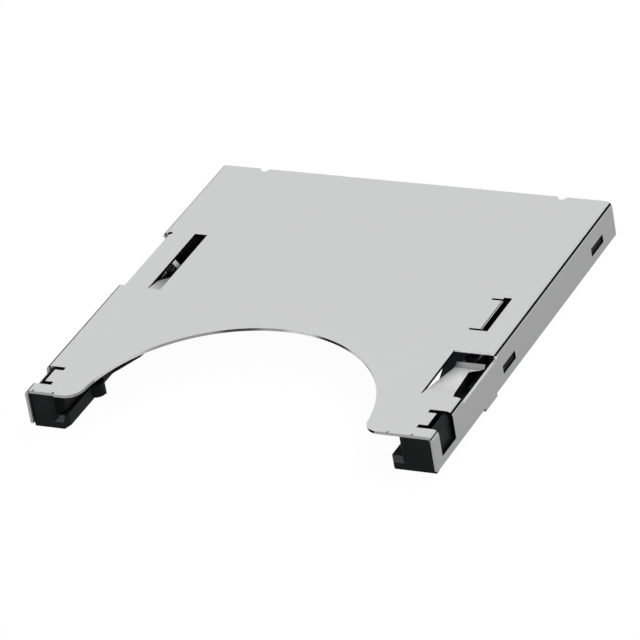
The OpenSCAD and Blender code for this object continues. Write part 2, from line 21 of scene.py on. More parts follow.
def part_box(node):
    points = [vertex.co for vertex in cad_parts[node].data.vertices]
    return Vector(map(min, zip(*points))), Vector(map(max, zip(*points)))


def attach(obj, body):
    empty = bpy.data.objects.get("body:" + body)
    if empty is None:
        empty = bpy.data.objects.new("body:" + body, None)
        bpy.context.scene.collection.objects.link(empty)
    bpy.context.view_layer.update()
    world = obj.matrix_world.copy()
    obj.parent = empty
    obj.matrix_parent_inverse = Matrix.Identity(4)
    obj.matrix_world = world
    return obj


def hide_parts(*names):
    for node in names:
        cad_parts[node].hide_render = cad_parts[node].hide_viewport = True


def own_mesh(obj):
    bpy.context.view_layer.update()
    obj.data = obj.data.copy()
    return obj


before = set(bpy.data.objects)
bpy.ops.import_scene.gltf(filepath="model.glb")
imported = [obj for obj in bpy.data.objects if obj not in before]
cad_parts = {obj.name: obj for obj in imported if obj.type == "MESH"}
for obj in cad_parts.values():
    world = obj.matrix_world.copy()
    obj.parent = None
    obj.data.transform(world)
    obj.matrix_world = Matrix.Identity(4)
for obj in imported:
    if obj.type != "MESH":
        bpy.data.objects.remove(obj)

Colour: TypeAlias = tuple[float, float, float]
Triple: TypeAlias = tuple[float, float, float]
Pair: TypeAlias = tuple[float, float]
Value: TypeAlias = "Wire | float | Sequence[float]"

MM = 0.001
# Middle of a noise's values, and the ends that most of them lie between
GRAIN_MIDDLE, GRAIN_SPAN = 0.5, (0.3, 0.7)
# A Mix node's sockets for colours, by number because their names repeat
MIX_SHARE, MIX_FIRST, MIX_SECOND, MIX_RESULT = 0, 6, 7, 2

log = logging.getLogger("card_socket")


class Body(Enum):
    """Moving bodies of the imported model."""

    FRAME = "frame"
    CARRIAGE = "carriage"
    LATCH_WIRE = "latch_wire"


class Slot(Enum):
    """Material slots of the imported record."""

    COVER = "cover_steel"
    HOUSING = "housing_plastic"
    SLIDER = "slider_plastic"
    SPRING = "spring_steel"
    CONTACT = "contact_metal"


class Wire:
    """An output socket that takes part in Python expressions on numbers."""

    def __init__(self, bench: "NodeBench", socket: NodeSocket) -> None:
        """Keeps an output socket and the bench that adds nodes after it."""
        self.bench = bench
        self.socket = socket

    def __add__(self, other: Value) -> "Wire":
        """Adds."""
        return self.bench.math("ADD", self, other)

    def __radd__(self, other: Value) -> "Wire":
        """Adds, reflected."""
        return self.bench.math("ADD", other, self)

    def __sub__(self, other: Value) -> "Wire":
        """Subtracts."""
        return self.bench.math("SUBTRACT", self, other)

    def __rsub__(self, other: Value) -> "Wire":
        """Subtracts, reflected."""
        return self.bench.math("SUBTRACT", other, self)

    def __mul__(self, other: Value) -> "Wire":
        """Multiplies."""
        return self.bench.math("MULTIPLY", self, other)

    def __rmul__(self, other: Value) -> "Wire":
        """Multiplies, reflected."""
        return self.bench.math("MULTIPLY", other, self)

    def __truediv__(self, other: Value) -> "Wire":
        """Divides."""
        return self.bench.math("DIVIDE", self, other)

    def __abs__(self) -> "Wire":
        """Size without sign."""
        return self.bench.math("ABSOLUTE", self)

    def above(self, other: Value) -> "Wire":
        """1 where this is greater than other, and 0 elsewhere."""
        return self.bench.math("GREATER_THAN", self, other)

    def below(self, other: Value) -> "Wire":
        """1 where this is less than other, and 0 elsewhere."""
        return self.bench.math("LESS_THAN", self, other)

    def within(self, low: Value, high: Value) -> "Wire":
        """1 between low and high, and 0 elsewhere."""
        return self.above(low) * self.below(high)

    def at_most(self, other: Value) -> "Wire":
        """The smaller of this and other."""
        return self.bench.math("MINIMUM", self, other)

    def at_least(self, other: Value) -> "Wire":
        """The larger of this and other."""
        return self.bench.math("MAXIMUM", self, other)

    def turn_from(self, other: "Wire") -> "Wire":
        """The angle in degrees whose tangent is this over other."""
        return self.bench.math("DEGREES", self.bench.math("ARCTAN2", self, other))

    def spread(self, low: float, high: float, start: float = 0.0, end: float = 1.0) -> "Wire":
        """Maps low to high onto start to end with a smooth step.

        Args:
            low: Input that gives start.
            high: Input that gives end.
            start: Result at low.
            end: Result at high.

        Returns:
            The mapped value.
        """
        ends = {"Value": self, "From Min": low, "From Max": high, "To Min": start, "To Max": end}
        node = self.bench.add("ShaderNodeMapRange", ends, interpolation_type="SMOOTHSTEP")
        return self.bench.out(node, "Result")


@dataclass(frozen=True)
class Spot:
    """A point of a surface: its place in metres, and the parts of its face's true normal."""

    x: Wire
    y: Wire
    z: Wire
    aside: Wire
    ahead: Wire
    up: Wire


class NodeBench:
    """Builds one node tree."""

    def __init__(self, tree: NodeTree) -> None:
        """Takes the empty tree of a material, a world or a modifier."""
        self.tree = tree

    def add(self, kind: str, inputs: dict | None = None, **settings: str) -> Node:
        """Adds a node, sets its settings and then its sockets.

        Args:
            kind: Node type's identifier.
            inputs: Values or wires, by socket name or number.
            settings: Node properties, set before the inputs.

        Returns:
            The new node.
        """
        node = self.tree.nodes.new(kind)
        for key, value in settings.items():
            setattr(node, key, value)
        for key, value in (inputs or {}).items():
            self.feed(node.inputs[key], value)
        return node

    def feed(self, target: NodeSocket, value: Value) -> None:
        """Links a wire to a socket, or sets the socket's own value.

        Args:
            target: Input socket.
            value: Wire, number, colour or vector.
        """
        if isinstance(value, Wire):
            self.tree.links.new(value.socket, target)
        elif isinstance(value, tuple) and target.type == "RGBA":
            target.default_value = (*value, 1.0)
        else:
            target.default_value = value

    def out(self, node: Node, name: str | int = 0) -> Wire:
        """Wraps an output of a node."""
        return Wire(self, node.outputs[name])

    def math(self, operation: str, *values: Value) -> Wire:
        """Adds a Math node with its inputs in order, and gives its result."""
        return self.out(self.add("ShaderNodeMath", dict(enumerate(values)), operation=operation))

    def vector(self, operation: str, inputs: dict) -> Wire:
        """Adds a Vector Math node, and gives its vector."""
        return self.out(self.add("ShaderNodeVectorMath", inputs, operation=operation))

    def split(self, vector: Wire) -> tuple[Wire, Wire, Wire]:
        """The three parts of a vector."""
        node = self.add("ShaderNodeSeparateXYZ", {0: vector})
        return self.out(node, 0), self.out(node, 1), self.out(node, 2)

    def join(self, x: Value, y: Value, z: Value) -> Wire:
        """A vector from three numbers."""
        return self.out(self.add("ShaderNodeCombineXYZ", {0: x, 1: y, 2: z}))

    def blend(self, share: Wire, first: Value, second: Value) -> Wire:
        """Mixes two colours: a share of 0 gives the first, and 1 the second."""
        colours = {MIX_SHARE: share, MIX_FIRST: first, MIX_SECOND: second}
        return self.out(self.add("ShaderNodeMix", colours, data_type="RGBA"), MIX_RESULT)

    def place(self) -> Wire:
        """Object coordinates in metres."""
        return self.out(self.add("ShaderNodeTexCoord"), "Object")

    def spot(self, at: Wire) -> Spot:
        """The place at these coordinates, with its face's own normal, whatever its shading."""
        normal = self.out(self.add("ShaderNodeNewGeometry"), "True Normal")
        return Spot(*self.split(at), *self.split(normal))

    def noise(self, at: Wire, grains: Triple, detail: float = 2.0, rough: float = 0.5) -> Wire:
        """Noise whose grain has its own size along each axis.

        Args:
            at: Coordinates in metres.
            grains: Grains per metre along X, Y and Z.
            detail: Octaves.
            rough: Strength of the finer octaves.

        Returns:
            A value about 0.5.
        """
        scaled = self.vector("MULTIPLY", {0: at, 1: grains})
        inputs = {"Vector": scaled, "Scale": 1.0, "Detail": detail, "Roughness": rough}
        return self.out(self.add("ShaderNodeTexNoise", inputs), "Fac")

    def bump(self, height: Wire, depth: float) -> Wire:
        """A normal from a height between 0 and 1, which stands for this depth in metres."""
        inputs = {"Height": height, "Distance": depth, "Strength": 1.0}
        return self.out(self.add("ShaderNodeBump", inputs), "Normal")


def cleared(owner: Material | World) -> NodeBench:
    """Empties the nodes of a material or a world, and gives the bench of its tree."""
    owner.use_nodes = True
    owner.node_tree.nodes.clear()
    return NodeBench(owner.node_tree)


def added(name: str, data: ID) -> Object:
    """Adds an object with this mesh, lamp or camera to the scene."""
    thing = bpy.data.objects.new(name, data)
    bpy.context.scene.collection.objects.link(thing)
    return thing


@dataclass(frozen=True)
class Finish:
    """A surface finish, made as one procedural material; it keeps the name of a slot of the record, which
    nothing reads.
    """

    name: str
    slot: Slot

    def paint(self, bench: NodeBench, at: Wire) -> dict[str, Value]:
        """Colours the surface.

        Args:
            bench: Bench of the material's tree.
            at: Object coordinates in metres.

        Returns:
            The shader's values or wires by socket name.
        """
        raise NotImplementedError

    def material(self) -> Material:
        """Makes the finish's material, or finds the one that was made before."""
        found = bpy.data.materials.get(self.name)
        if found:
            return found
        made = bpy.data.materials.new(self.name)
        bench = cleared(made)
        shader = bench.add("ShaderNodeBsdfPrincipled", self.paint(bench, bench.place()))
        bench.add("ShaderNodeOutputMaterial", {"Surface": bench.out(shader)})
        return made


@dataclass(frozen=True)
class EdgeMark:
    """A painted light or dark reflection on a stretch of the finger cut-out's sheared edge, by degrees round
    its centre.
    """

    middle: float
    half: float
    share: float
    grey: float


@dataclass(frozen=True)
class RolledSteel(Finish):
    """Satin stainless sheet of the cover.

    Its rolled faces have a fine grain along the socket, and each fold has a painted dark reflection line
    round it.
    The sheared edges are smoother, with painted light and dark reflections round the finger cut-out, painted
    black shade in the openings at the sides, and painted grey shade at the notches' rear and the left
    corner. The pressing leaf is brighter with painted light, and its lip and the tongue are darker with
    painted shade.
    """

    # Tones
    tone: Colour = (0.575, 0.577, 0.579)
    edge_tone: Colour = (0.5, 0.5, 0.505)
    shaded_edge_tone: Colour = (0.26, 0.26, 0.265)
    pit_shade_grey: float = 0.004
    # Grey of the painted highlight on the rear edge of the pressing leaf's window
    highlight_grey: float = 0.95
    # Grey of the painted dark reflection lines on the folds, also used for the black mark at the mouth edge
    line_grey: float = 0.001

    # Grain along the socket, wide clouds, and what they do to the tone and the gloss
    grains: Triple = (26000, 2600, 26000)
    grain_tint: float = 0.02
    grain_height: float = 0.0002 * MM
    clouds: Triple = (160, 120, 160)
    cloud_tint: float = 0.03
    satin: Pair = (0.38, 0.44)
    edge_gloss: float = 0.12
    line_matt: float = 0.3
    pit_matt: float = 0.6
    face_metal: float = 0.6
    edge_metal: float = 0.4
    specular: float = 0.25

    # Parts of the normal that tell the faces apart
    upright: float = 0.5
    level: float = 0.9995
    crosswise: float = 0.6

    # Places on the cover
    half_width: float = 14.45 * MM
    wall_inner: float = 14.24 * MM
    top: float = 2.74 * MM
    fold_radius: float = 0.4 * MM
    mouth: float = -14.95 * MM
    rear: float = 14.0 * MM

    # Painted dark reflection line round the folds, in degrees from straight up, and its shift on the left
    # side
    line_turn: Pair = (41.0, 62.0)
    line_blur: float = 1.0
    line_low: float = 0.05 * MM
    front_loss: float = 9.0
    left_shift: Pair = (30.0, 14.0)

    # Painted dark reflection lines on the folds of the small tabs, as depths under the top face
    tab_x: Pair = (11.6 * MM, 13.7 * MM)
    tab_aside: float = 0.05
    tab_up: float = 0.02
    tab_lines: Triple = (0.003 * MM, 0.021 * MM, 0.042 * MM)

    # Pressing leaf, brighter with painted light by leaf_rise for each millimetre down, its lip with painted
    # shade, and the painted highlight behind it
    bent_depth: float = 0.01
    leaf_y: Pair = (-10.5 * MM, -5.15 * MM)
    leaf_painted_light: float = 0.5
    leaf_rise: float = 1.6
    lip_turned: float = 0.02
    lip_painted_shade: float = 0.55
    highlight_y: Pair = (-5.15 * MM, -4.85 * MM)

    # Tongue in the left slot, down to tongue_depth millimetres, darker with painted shade with each
    # millimetre down
    tongue_x: float = -11.1 * MM
    tongue_reach: float = 3.0 * MM
    tongue_depth: float = 0.8
    tongue_sink: float = 2.2
    tongue_painted_shade: float = 0.8

    # Edges of the side openings and the wall windows painted black as shade, and edges painted grey as
    # lighter shade
    pit_side: float = 11.4 * MM
    pit_front: float = -14.1 * MM
    window_low: float = 0.3 * MM
    window_drop: float = 0.52 * MM
    notch_rear: Pair = (-12.2 * MM, -11.9 * MM)
    near_left: Pair = (-10.4 * MM, -11.5 * MM)
    near_share: float = 0.4

    # Black mark painted on the mouth's upright edge beside the finger cut-out, and the painted light and
    # dark reflections round the cut-out
    mouth_mark_x: float = 10.2 * MM
    mouth_mark_half: float = 0.24 * MM
    mouth_mark_y: float = -14.5 * MM
    arc_centre: Pair = (-0.5 * MM, -15.05 * MM)
    arc_side: float = 10.4 * MM
    mark_core: float = 0.35
    arc_marks: tuple[EdgeMark, ...] = (
        EdgeMark(7.0, 10.0, 1.0, 0.95),
        EdgeMark(37.5, 9.0, 0.8, 0.95),
        EdgeMark(23.0, 11.5, 1.0, 0.002),
        EdgeMark(-18.0, 11.0, 0.85, 0.03),
        EdgeMark(-66.0, 18.0, 1.0, 1.0),
        EdgeMark(48.0, 6.0, 0.55, 0.3),
    )

    def _fold_reflection_line(self, spot: Spot) -> Wire:
        """Finds the painted dark reflection line round the folds, which is thinner in front of the corner
        notches.

        Args:
            spot: Point of the sheet.

        Returns:
            1 on the line, and 0 elsewhere.
        """
        out = abs(spot.x) - (self.half_width - self.fold_radius)
        up = spot.z - (self.top - self.fold_radius)
        turn = out.turn_from(up)
        turn = turn + spot.x.below(0.0) * spot.y.spread(self.mouth, self.rear, *self.left_shift)
        first, last = self.line_turn
        line = turn.spread(first - self.line_blur, first + self.line_blur)
        line = line * turn.spread(last - self.line_blur, last + self.line_blur, 1.0, 0.0)
        lost = spot.y.below(self.pit_front) * turn.above(last - self.front_loss)
        return line * up.above(self.line_low) * (1.0 - lost)

    def _tab_reflection_lines(self, spot: Spot) -> Wire:
        """1 on the painted dark reflection lines round the folds of the small tabs, and 0 elsewhere."""
        first, second, third = self.tab_lines
        depth = self.top - spot.z
        turned = spot.aside.above(self.tab_aside) * spot.up.above(self.tab_up)
        turned = turned * spot.x.within(*self.tab_x)
        return turned * depth.within(first, second).at_least(depth.above(third))

    def _mouth_mark(self, spot: Spot) -> Wire:
        """1 on the black mark painted on the mouth's upright edge beside the finger cut-out, and 0
        elsewhere.
        """
        near = abs(spot.x - self.mouth_mark_x).below(self.mouth_mark_half) * spot.y.below(self.mouth_mark_y)
        return abs(spot.up).below(self.upright) * near

    def _bent_painted_light(self, spot: Spot) -> Wire:
        """Paints light and shade on the parts that are bent down from the top face.

        Args:
            spot: Point of the sheet.

        Returns:
            A factor on the tone: over 1 for painted light on the pressing leaf, and under 1 for painted
                shade on its lip and the tongue.
        """
        depth = (self.top - spot.z) / MM
        bent = spot.up.within(self.upright, self.level) * depth.above(self.bent_depth)
        leaf = bent * spot.x.within(self.pit_side, self.wall_inner) * spot.y.within(*self.leaf_y)
        lip = leaf * spot.ahead.below(-self.lip_turned)
        tongue = bent * spot.x.below(self.tongue_x) * abs(spot.y).below(self.tongue_reach)
        tongue = tongue * depth.below(self.tongue_depth)
        rise = leaf * spot.ahead.above(0.0) * (depth * self.leaf_rise).at_most(1.0) * self.leaf_painted_light
        tongue_shade = tongue * (depth * self.tongue_sink).at_most(1.0) * self.tongue_painted_shade
        return 1.0 + rise - lip * self.lip_painted_shade - tongue_shade

    def _sheared(self, spot: Spot) -> Wire:
        """1 on upright edges and tabs between the folds and in the right wall, and 0 elsewhere.

        The mouth's and the rear's own edges have 0 too.
        """
        across = abs(spot.ahead).above(self.crosswise) * spot.x.above(0.0)
        inside = abs(spot.x).below(self.half_width - self.fold_radius).at_least(across)
        return abs(spot.up).below(self.upright) * inside * spot.y.within(self.mouth, self.rear)

    def _notch_end(self, spot: Spot) -> Wire:
        """1 at the rear edges of the corner notches, between the folds."""
        return spot.y.within(*self.notch_rear) * abs(spot.x).below(self.half_width - self.fold_radius)

    def _pit(self, spot: Spot, sheared: Wire) -> Wire:
        """Finds the edges painted black as shade: those of the side openings and of the walls' windows.

        Args:
            spot: Point of the sheet.
            sheared: 1 on the sheared edges.

        Returns:
            1 on the edges painted black, and 0 elsewhere.
        """
        opening = sheared * abs(spot.x).above(self.pit_side) * spot.y.above(self.pit_front)
        opening = opening * (1.0 - self._notch_end(spot))
        window = abs(spot.x).above(self.wall_inner) * abs(spot.aside).below(self.upright)
        window = window * spot.z.within(self.window_low, self.top - self.window_drop)
        return opening.at_least(window * spot.y.within(self.pit_front, self.rear))

    def _edge_colour(self, spot: Spot, sheared: Wire) -> Wire:
        """Colours the sheared edges that aren't black.

        Args:
            spot: Point of the sheet.
            sheared: 1 on the sheared edges.

        Returns:
            The colour, with painted shade at the notches' rear and at the left corner, and the cut-out's
            painted reflections.
        """
        bench = sheared.bench
        # Painted shade at the notches' rear and on the edges beside the plastic at the left corner
        near = spot.x.below(self.near_left[0]) * spot.y.below(self.near_left[1]) * self.near_share
        shaded_edge = self._notch_end(spot).at_least(near) * sheared
        edge = bench.blend(shaded_edge, self.edge_tone, self.shaded_edge_tone)
        turn = (spot.x - self.arc_centre[0]).turn_from(spot.y - self.arc_centre[1])
        # Painted light and dark reflections round the finger cut-out
        for mark in self.arc_marks:
            share = abs(turn - mark.middle).spread(self.mark_core * mark.half, mark.half, mark.share, 0.0)
            edge = bench.blend(share * abs(spot.x).below(self.arc_side), edge, (mark.grey,) * 3)
        return edge

    def paint(self, bench: NodeBench, at: Wire) -> dict[str, Value]:
        """Colours the rolled sheet, its edges and its dark lines."""
        spot = bench.spot(at)
        grain = bench.noise(at, self.grains)
        clouds = bench.noise(at, self.clouds)
        sheared = self._sheared(spot)
        # Edges of the side openings and the wall windows, painted black as shade
        pit = self._pit(spot, sheared)
        # Painted highlight on the rear edge of the pressing leaf's window
        edge_highlight = sheared * spot.x.above(self.pit_side) * spot.y.within(*self.highlight_y)
        # Painted dark reflection lines round the folds and the tabs' folds, and the black mark at the mouth
        # edge
        line = self._fold_reflection_line(spot).at_least(self._tab_reflection_lines(spot)).at_least(self._mouth_mark(spot))
        tint = (grain - GRAIN_MIDDLE) * self.grain_tint + (clouds - GRAIN_MIDDLE) * self.cloud_tint
        steel = bench.vector("SCALE", {0: self.tone, "Scale": tint + self._bent_painted_light(spot)})
        steel = bench.blend(sheared, steel, self._edge_colour(spot, sheared))
        for share, grey in ((pit, self.pit_shade_grey), (edge_highlight, self.highlight_grey), (line, self.line_grey)):
            steel = bench.blend(share, steel, (grey,) * 3)
        satin = grain.spread(*GRAIN_SPAN, *self.satin)
        return {
            "Base Color": steel,
            "Metallic": (sheared * self.edge_metal + self.face_metal).at_least(line),
            "Roughness": satin - sheared * self.edge_gloss + line * self.line_matt + pit * self.pit_matt,
            "Specular IOR Level": self.specular,
            "Normal": bench.bump(grain, self.grain_height),
        }


@dataclass(frozen=True)
class MouldedPlastic(Finish):
    """Black moulded plastic with a fine matt skin and faint flow marks.

    The sloped lead-ins carry a painted highlight in patches, the floor on the right is lighter with painted
    light, and the upright faces over the ledges and the front strip beside the cover's left wall are the
    darkest, with painted shade.
    """

    # Tones
    tone: Colour = (0.0098, 0.0106, 0.0113)
    # Painted highlight on the sloped lead-ins
    lead_in_highlight: Colour = (0.082, 0.085, 0.088)
    # Tone of the painted shade on the walls over the ledges and the front strip
    shade_tone: Colour = (0.001, 0.0011, 0.0012)
    flow_gain: float = 1.4
    # Gain of the painted light on the floor right of the middle
    bed_light_gain: float = 10.0

    # Skin and flow marks
    skin: Triple = (14000, 14000, 14000)
    skin_height: float = 0.003 * MM
    matt: Pair = (0.38, 0.52)
    flow: Triple = (350, 120, 350)
    flow_span: Pair = (0.35, 0.7)
    highlight_span: Pair = (0.25, 0.6)
    highlight_share: Pair = (0.7, 1.0)
    specular: float = 0.1

    # Parts of the normal: upwards on a slope, and along the socket on a slope and on a front face
    slope: Pair = (0.3, 0.97)
    slope_ahead: float = -0.2
    front_ahead: float = -0.5

    # Places on the moulding
    ledge: float = 0.92 * MM
    front: float = -14.9 * MM
    guide: float = 13.4 * MM
    left_strip: float = -14.06 * MM
    bed: float = 0.2 * MM
    bed_side: float = 6.7 * MM

    def paint(self, bench: NodeBench, at: Wire) -> dict[str, Value]:
        """Colours the moulding, its lead-ins and its dark walls."""
        skin = bench.noise(at, self.skin, detail=3.0, rough=0.6)
        flow = bench.noise(at, self.flow, detail=3.0)
        spot = bench.spot(at)
        steepest, flattest = self.slope
        # Painted highlight in patches on the sloped lead-ins that face up and to the front
        lead_in = spot.up.within(*self.slope) * spot.ahead.below(self.slope_ahead) * spot.z.below(self.ledge)
        lead_in = lead_in * skin.spread(*self.highlight_span, *self.highlight_share)
        # Painted shade on the upright faces over the ledges and on the front strip beside the cover's left
        # wall
        walls = abs(spot.up).below(steepest) * spot.z.above(self.ledge)
        walls = walls * spot.y.above(self.front) * abs(spot.x).below(self.guide)
        strip = spot.x.below(self.left_strip) * spot.ahead.below(self.front_ahead)
        # Painted light on the floor right of the middle
        bed = spot.up.above(flattest) * spot.z.below(self.bed) * spot.x.above(self.bed_side)
        flowed = tuple(part * self.flow_gain for part in self.tone)
        lit = tuple(part * self.bed_light_gain for part in self.tone)
        moulded = bench.blend(flow.spread(*self.flow_span), self.tone, flowed)
        moulded = bench.blend(bed, moulded, lit)
        moulded = bench.blend(walls.at_least(strip), moulded, self.shade_tone)
        return {
            "Base Color": bench.blend(lead_in, moulded, self.lead_in_highlight),
            "Roughness": skin.spread(*GRAIN_SPAN, *self.matt),
            "Specular IOR Level": self.specular,
            "Normal": bench.bump(skin, self.skin_height),
        }


@dataclass(frozen=True)
class SpringSteel(Finish):
    """Bright spring steel with fine drawing lines along the socket."""

    tone: Colour = (0.56, 0.565, 0.575)
    line_share: float = 0.72
    line_span: Pair = (0.35, 0.75)
    lines: Triple = (9000, 1400, 9000)
    line_height: float = 0.001 * MM
    bright: Pair = (0.2, 0.34)

    def paint(self, bench: NodeBench, at: Wire) -> dict[str, Value]:
        """Colours the spring steel and its drawing lines."""
        lines = bench.noise(at, self.lines, detail=3.0, rough=0.6)
        darker = tuple(part * self.line_share for part in self.tone)
        return {
            "Base Color": bench.blend(lines.spread(*self.line_span), self.tone, darker),
            "Metallic": 1.0,
            "Roughness": lines.spread(*GRAIN_SPAN, *self.bright),
            "Normal": bench.bump(lines, self.line_height),
        }


@dataclass(frozen=True)
class PlatedCopper(Finish):
    """Contact strip: gold flash up to the block, wiped by cards on the bumps, and a matt tin tail."""

    # Tones
    gold: Colour = (0.83, 0.58, 0.25)
    tin: Colour = (0.60, 0.60, 0.58)
    wiped: Colour = (0.74, 0.66, 0.50)

    # Grain of the plating, and its roughness: of gold, more on tin, and more with the grain
    grains: Triple = (7000, 16000, 7000)
    grain_height: float = 0.0015 * MM
    gold_matt: float = 0.16
    tin_matt: float = 0.2
    grain_matt: float = 0.12

    # Ragged end of the gold
    gold_end: Pair = (12.6 * MM, 12.7 * MM)
    ragged: float = 0.12 * MM

    # Streak that cards wipe along the bumps, in places and in shares of the strip's width
    wiped_z: Pair = (1.08 * MM, 1.2 * MM)
    wiped_y: Pair = (5.1 * MM, 10.2 * MM)
    streak: Pair = (0.25, 0.6)
    streak_ragged: float = 0.5

    def paint(self, bench: NodeBench, at: Wire) -> dict[str, Value]:
        """Colours the gold, the tin and the wiped streak."""
        _, y, z = bench.split(at)
        across = bench.out(bench.add("ShaderNodeAttribute", attribute_name="across"), "Fac")
        grain = bench.noise(at, self.grains, detail=3.0, rough=0.6)
        uneven = grain - GRAIN_MIDDLE
        tinned = (y + uneven * self.ragged).spread(*self.gold_end)
        wiped = z.spread(*self.wiped_z) * y.within(*self.wiped_y)
        wiped = wiped * (abs(across) + uneven * self.streak_ragged).spread(*self.streak, 1.0, 0.0)
        plated = bench.blend(wiped, self.gold, self.wiped)
        return {
            "Base Color": bench.blend(tinned, plated, self.tin),
            "Metallic": 1.0,
            "Roughness": tinned * self.tin_matt + grain * self.grain_matt + self.gold_matt,
            "Normal": bench.bump(grain, self.grain_height),
        }


SLIDER_TONE: Colour = (0.042, 0.043, 0.046)

COVER_STEEL = RolledSteel("rolled_stainless_sheet", Slot.COVER)
HOUSING_PLASTIC = MouldedPlastic("black_housing_plastic", Slot.HOUSING)
SLIDER_PLASTIC = MouldedPlastic("dark_slider_plastic", Slot.SLIDER,
                                tone=SLIDER_TONE, shade_tone=SLIDER_TONE, matt=(0.32, 0.46))
SPRING_STEEL = SpringSteel("bright_spring_steel", Slot.SPRING)
CONTACT_METAL = PlatedCopper("gold_flashed_contact", Slot.CONTACT)


@dataclass
class Workshop:
    """Makes finished pieces and puts each on its body."""

    made: list[Object] = field(default_factory=list)
    # Vertices closer than this are one
    weld: float = 0.0004 * MM
    # Faces that turn by fewer degrees lie in one plane
    flat: float = 0.15

    def finish(self, name: str, mesh: Mesh, finish: Finish, body: Body,
               stands_for: Sequence[str]) -> Object:
        """Turns a mesh into a piece of the socket.

        Args:
            name: Piece's name.
            mesh: Final mesh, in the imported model's frame.
            finish: Surface finish.
            body: Body that the piece rides on.
            stands_for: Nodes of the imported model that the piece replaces.

        Returns:
            The piece.
        """
        piece = added(name, mesh)
        mesh.materials.clear()
        mesh.materials.append(finish.material())
        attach(piece, body.value)
        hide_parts(*stands_for)
        self.made.append(piece)
        return piece

    def dress(self, node: str, name: str, finish: Finish, body: Body, crease: float = 30.0) -> None:
        """Makes a piece of a node's own shape, sharp at edges that turn by crease degrees."""
        self.finish(name, self.creased(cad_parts[node].data, crease), finish, body, [node])

    def creased(self, source: Mesh, crease: float = 30.0) -> Mesh:
        """Makes one closed skin with true normals.

        Args:
            source: Mesh of any faces.
            crease: Angle in degrees from which an edge stays sharp.

        Returns:
            The new mesh.
        """
        mesh = bpy.data.meshes.new(source.name + "_finished")
        shape = bmesh.new()
        shape.from_mesh(source)
        bmesh.ops.remove_doubles(shape, verts=shape.verts, dist=self.weld)
        bmesh.ops.dissolve_degenerate(shape, edges=shape.edges, dist=self.weld / 4)
        normals = self._true_normals(shape, math.radians(crease))
        shape.to_mesh(mesh)
        shape.free()
        mesh.polygons.foreach_set("use_smooth", [True] * len(mesh.polygons))
        mesh.normals_split_custom_set(normals)
        return mesh

    def _true_normals(self, shape: BMesh, crease: float) -> list[Vector]:
        """Works out each corner's normal: flat faces stay flat and round ones turn smoothly.

        Args:
            shape: Mesh whose sharp edges are marked on the way.
            crease: Angle in radians from which an edge stays sharp.

        Returns:
            The normals, in the order of the faces' corners.
        """
        shape.faces.ensure_lookup_table()
        shape.faces.index_update()
        for edge in shape.edges:
            edge.smooth = len(edge.link_faces) == 2 and edge.calc_face_angle(math.pi) < crease
        plane, areas = self._planes(shape)
        return [self._corner_normal(loop, plane, areas) for face in shape.faces for loop in face.loops]

    def _planes(self, shape: BMesh) -> tuple[list[int], list[float]]:
        """Groups the faces that join in one plane.

        Args:
            shape: Mesh with numbered faces.

        Returns:
            The plane's number for each face, and each plane's area.
        """
        flat = math.radians(self.flat)
        plane = [-1] * len(shape.faces)
        areas: list[float] = []
        for first in shape.faces:
            if plane[first.index] >= 0:
                continue
            plane[first.index] = len(areas)
            ahead, area = [first], 0.0
            while ahead:
                face = ahead.pop()
                area += face.calc_area()
                for edge in face.edges:
                    if len(edge.link_faces) != 2 or edge.calc_face_angle(math.pi) > flat:
                        continue
                    for other in edge.link_faces:
                        if plane[other.index] < 0:
                            plane[other.index] = len(areas)
                            ahead.append(other)
            areas.append(area)
        return plane, areas

    def _corner_normal(self, loop: BMLoop, plane: Sequence[int], areas: Sequence[float]) -> Vector:
        """Averages the planes that join smoothly with a corner's face around its vertex.

        A plane counts once, by its whole area, however many faces it is cut into.

        Args:
            loop: Corner of a face.
            plane: Plane's number for each face.
            areas: Area of each plane.

        Returns:
            The normal at the corner.
        """
        found = {plane[loop.face.index]: loop.face.normal}
        seen, ahead = {loop.face}, [loop.face]
        while ahead:
            face = ahead.pop()
            for edge in face.edges:
                if not edge.smooth or loop.vert not in edge.verts:
                    continue
                for other in edge.link_faces:
                    if other not in seen:
                        seen.add(other)
                        ahead.append(other)
                        found.setdefault(plane[other.index], other.normal)
        total = Vector()
        for number, normal in found.items():
            total += normal * areas[number]
        return total.normalized() if total.length > 0 else loop.face.normal.copy()


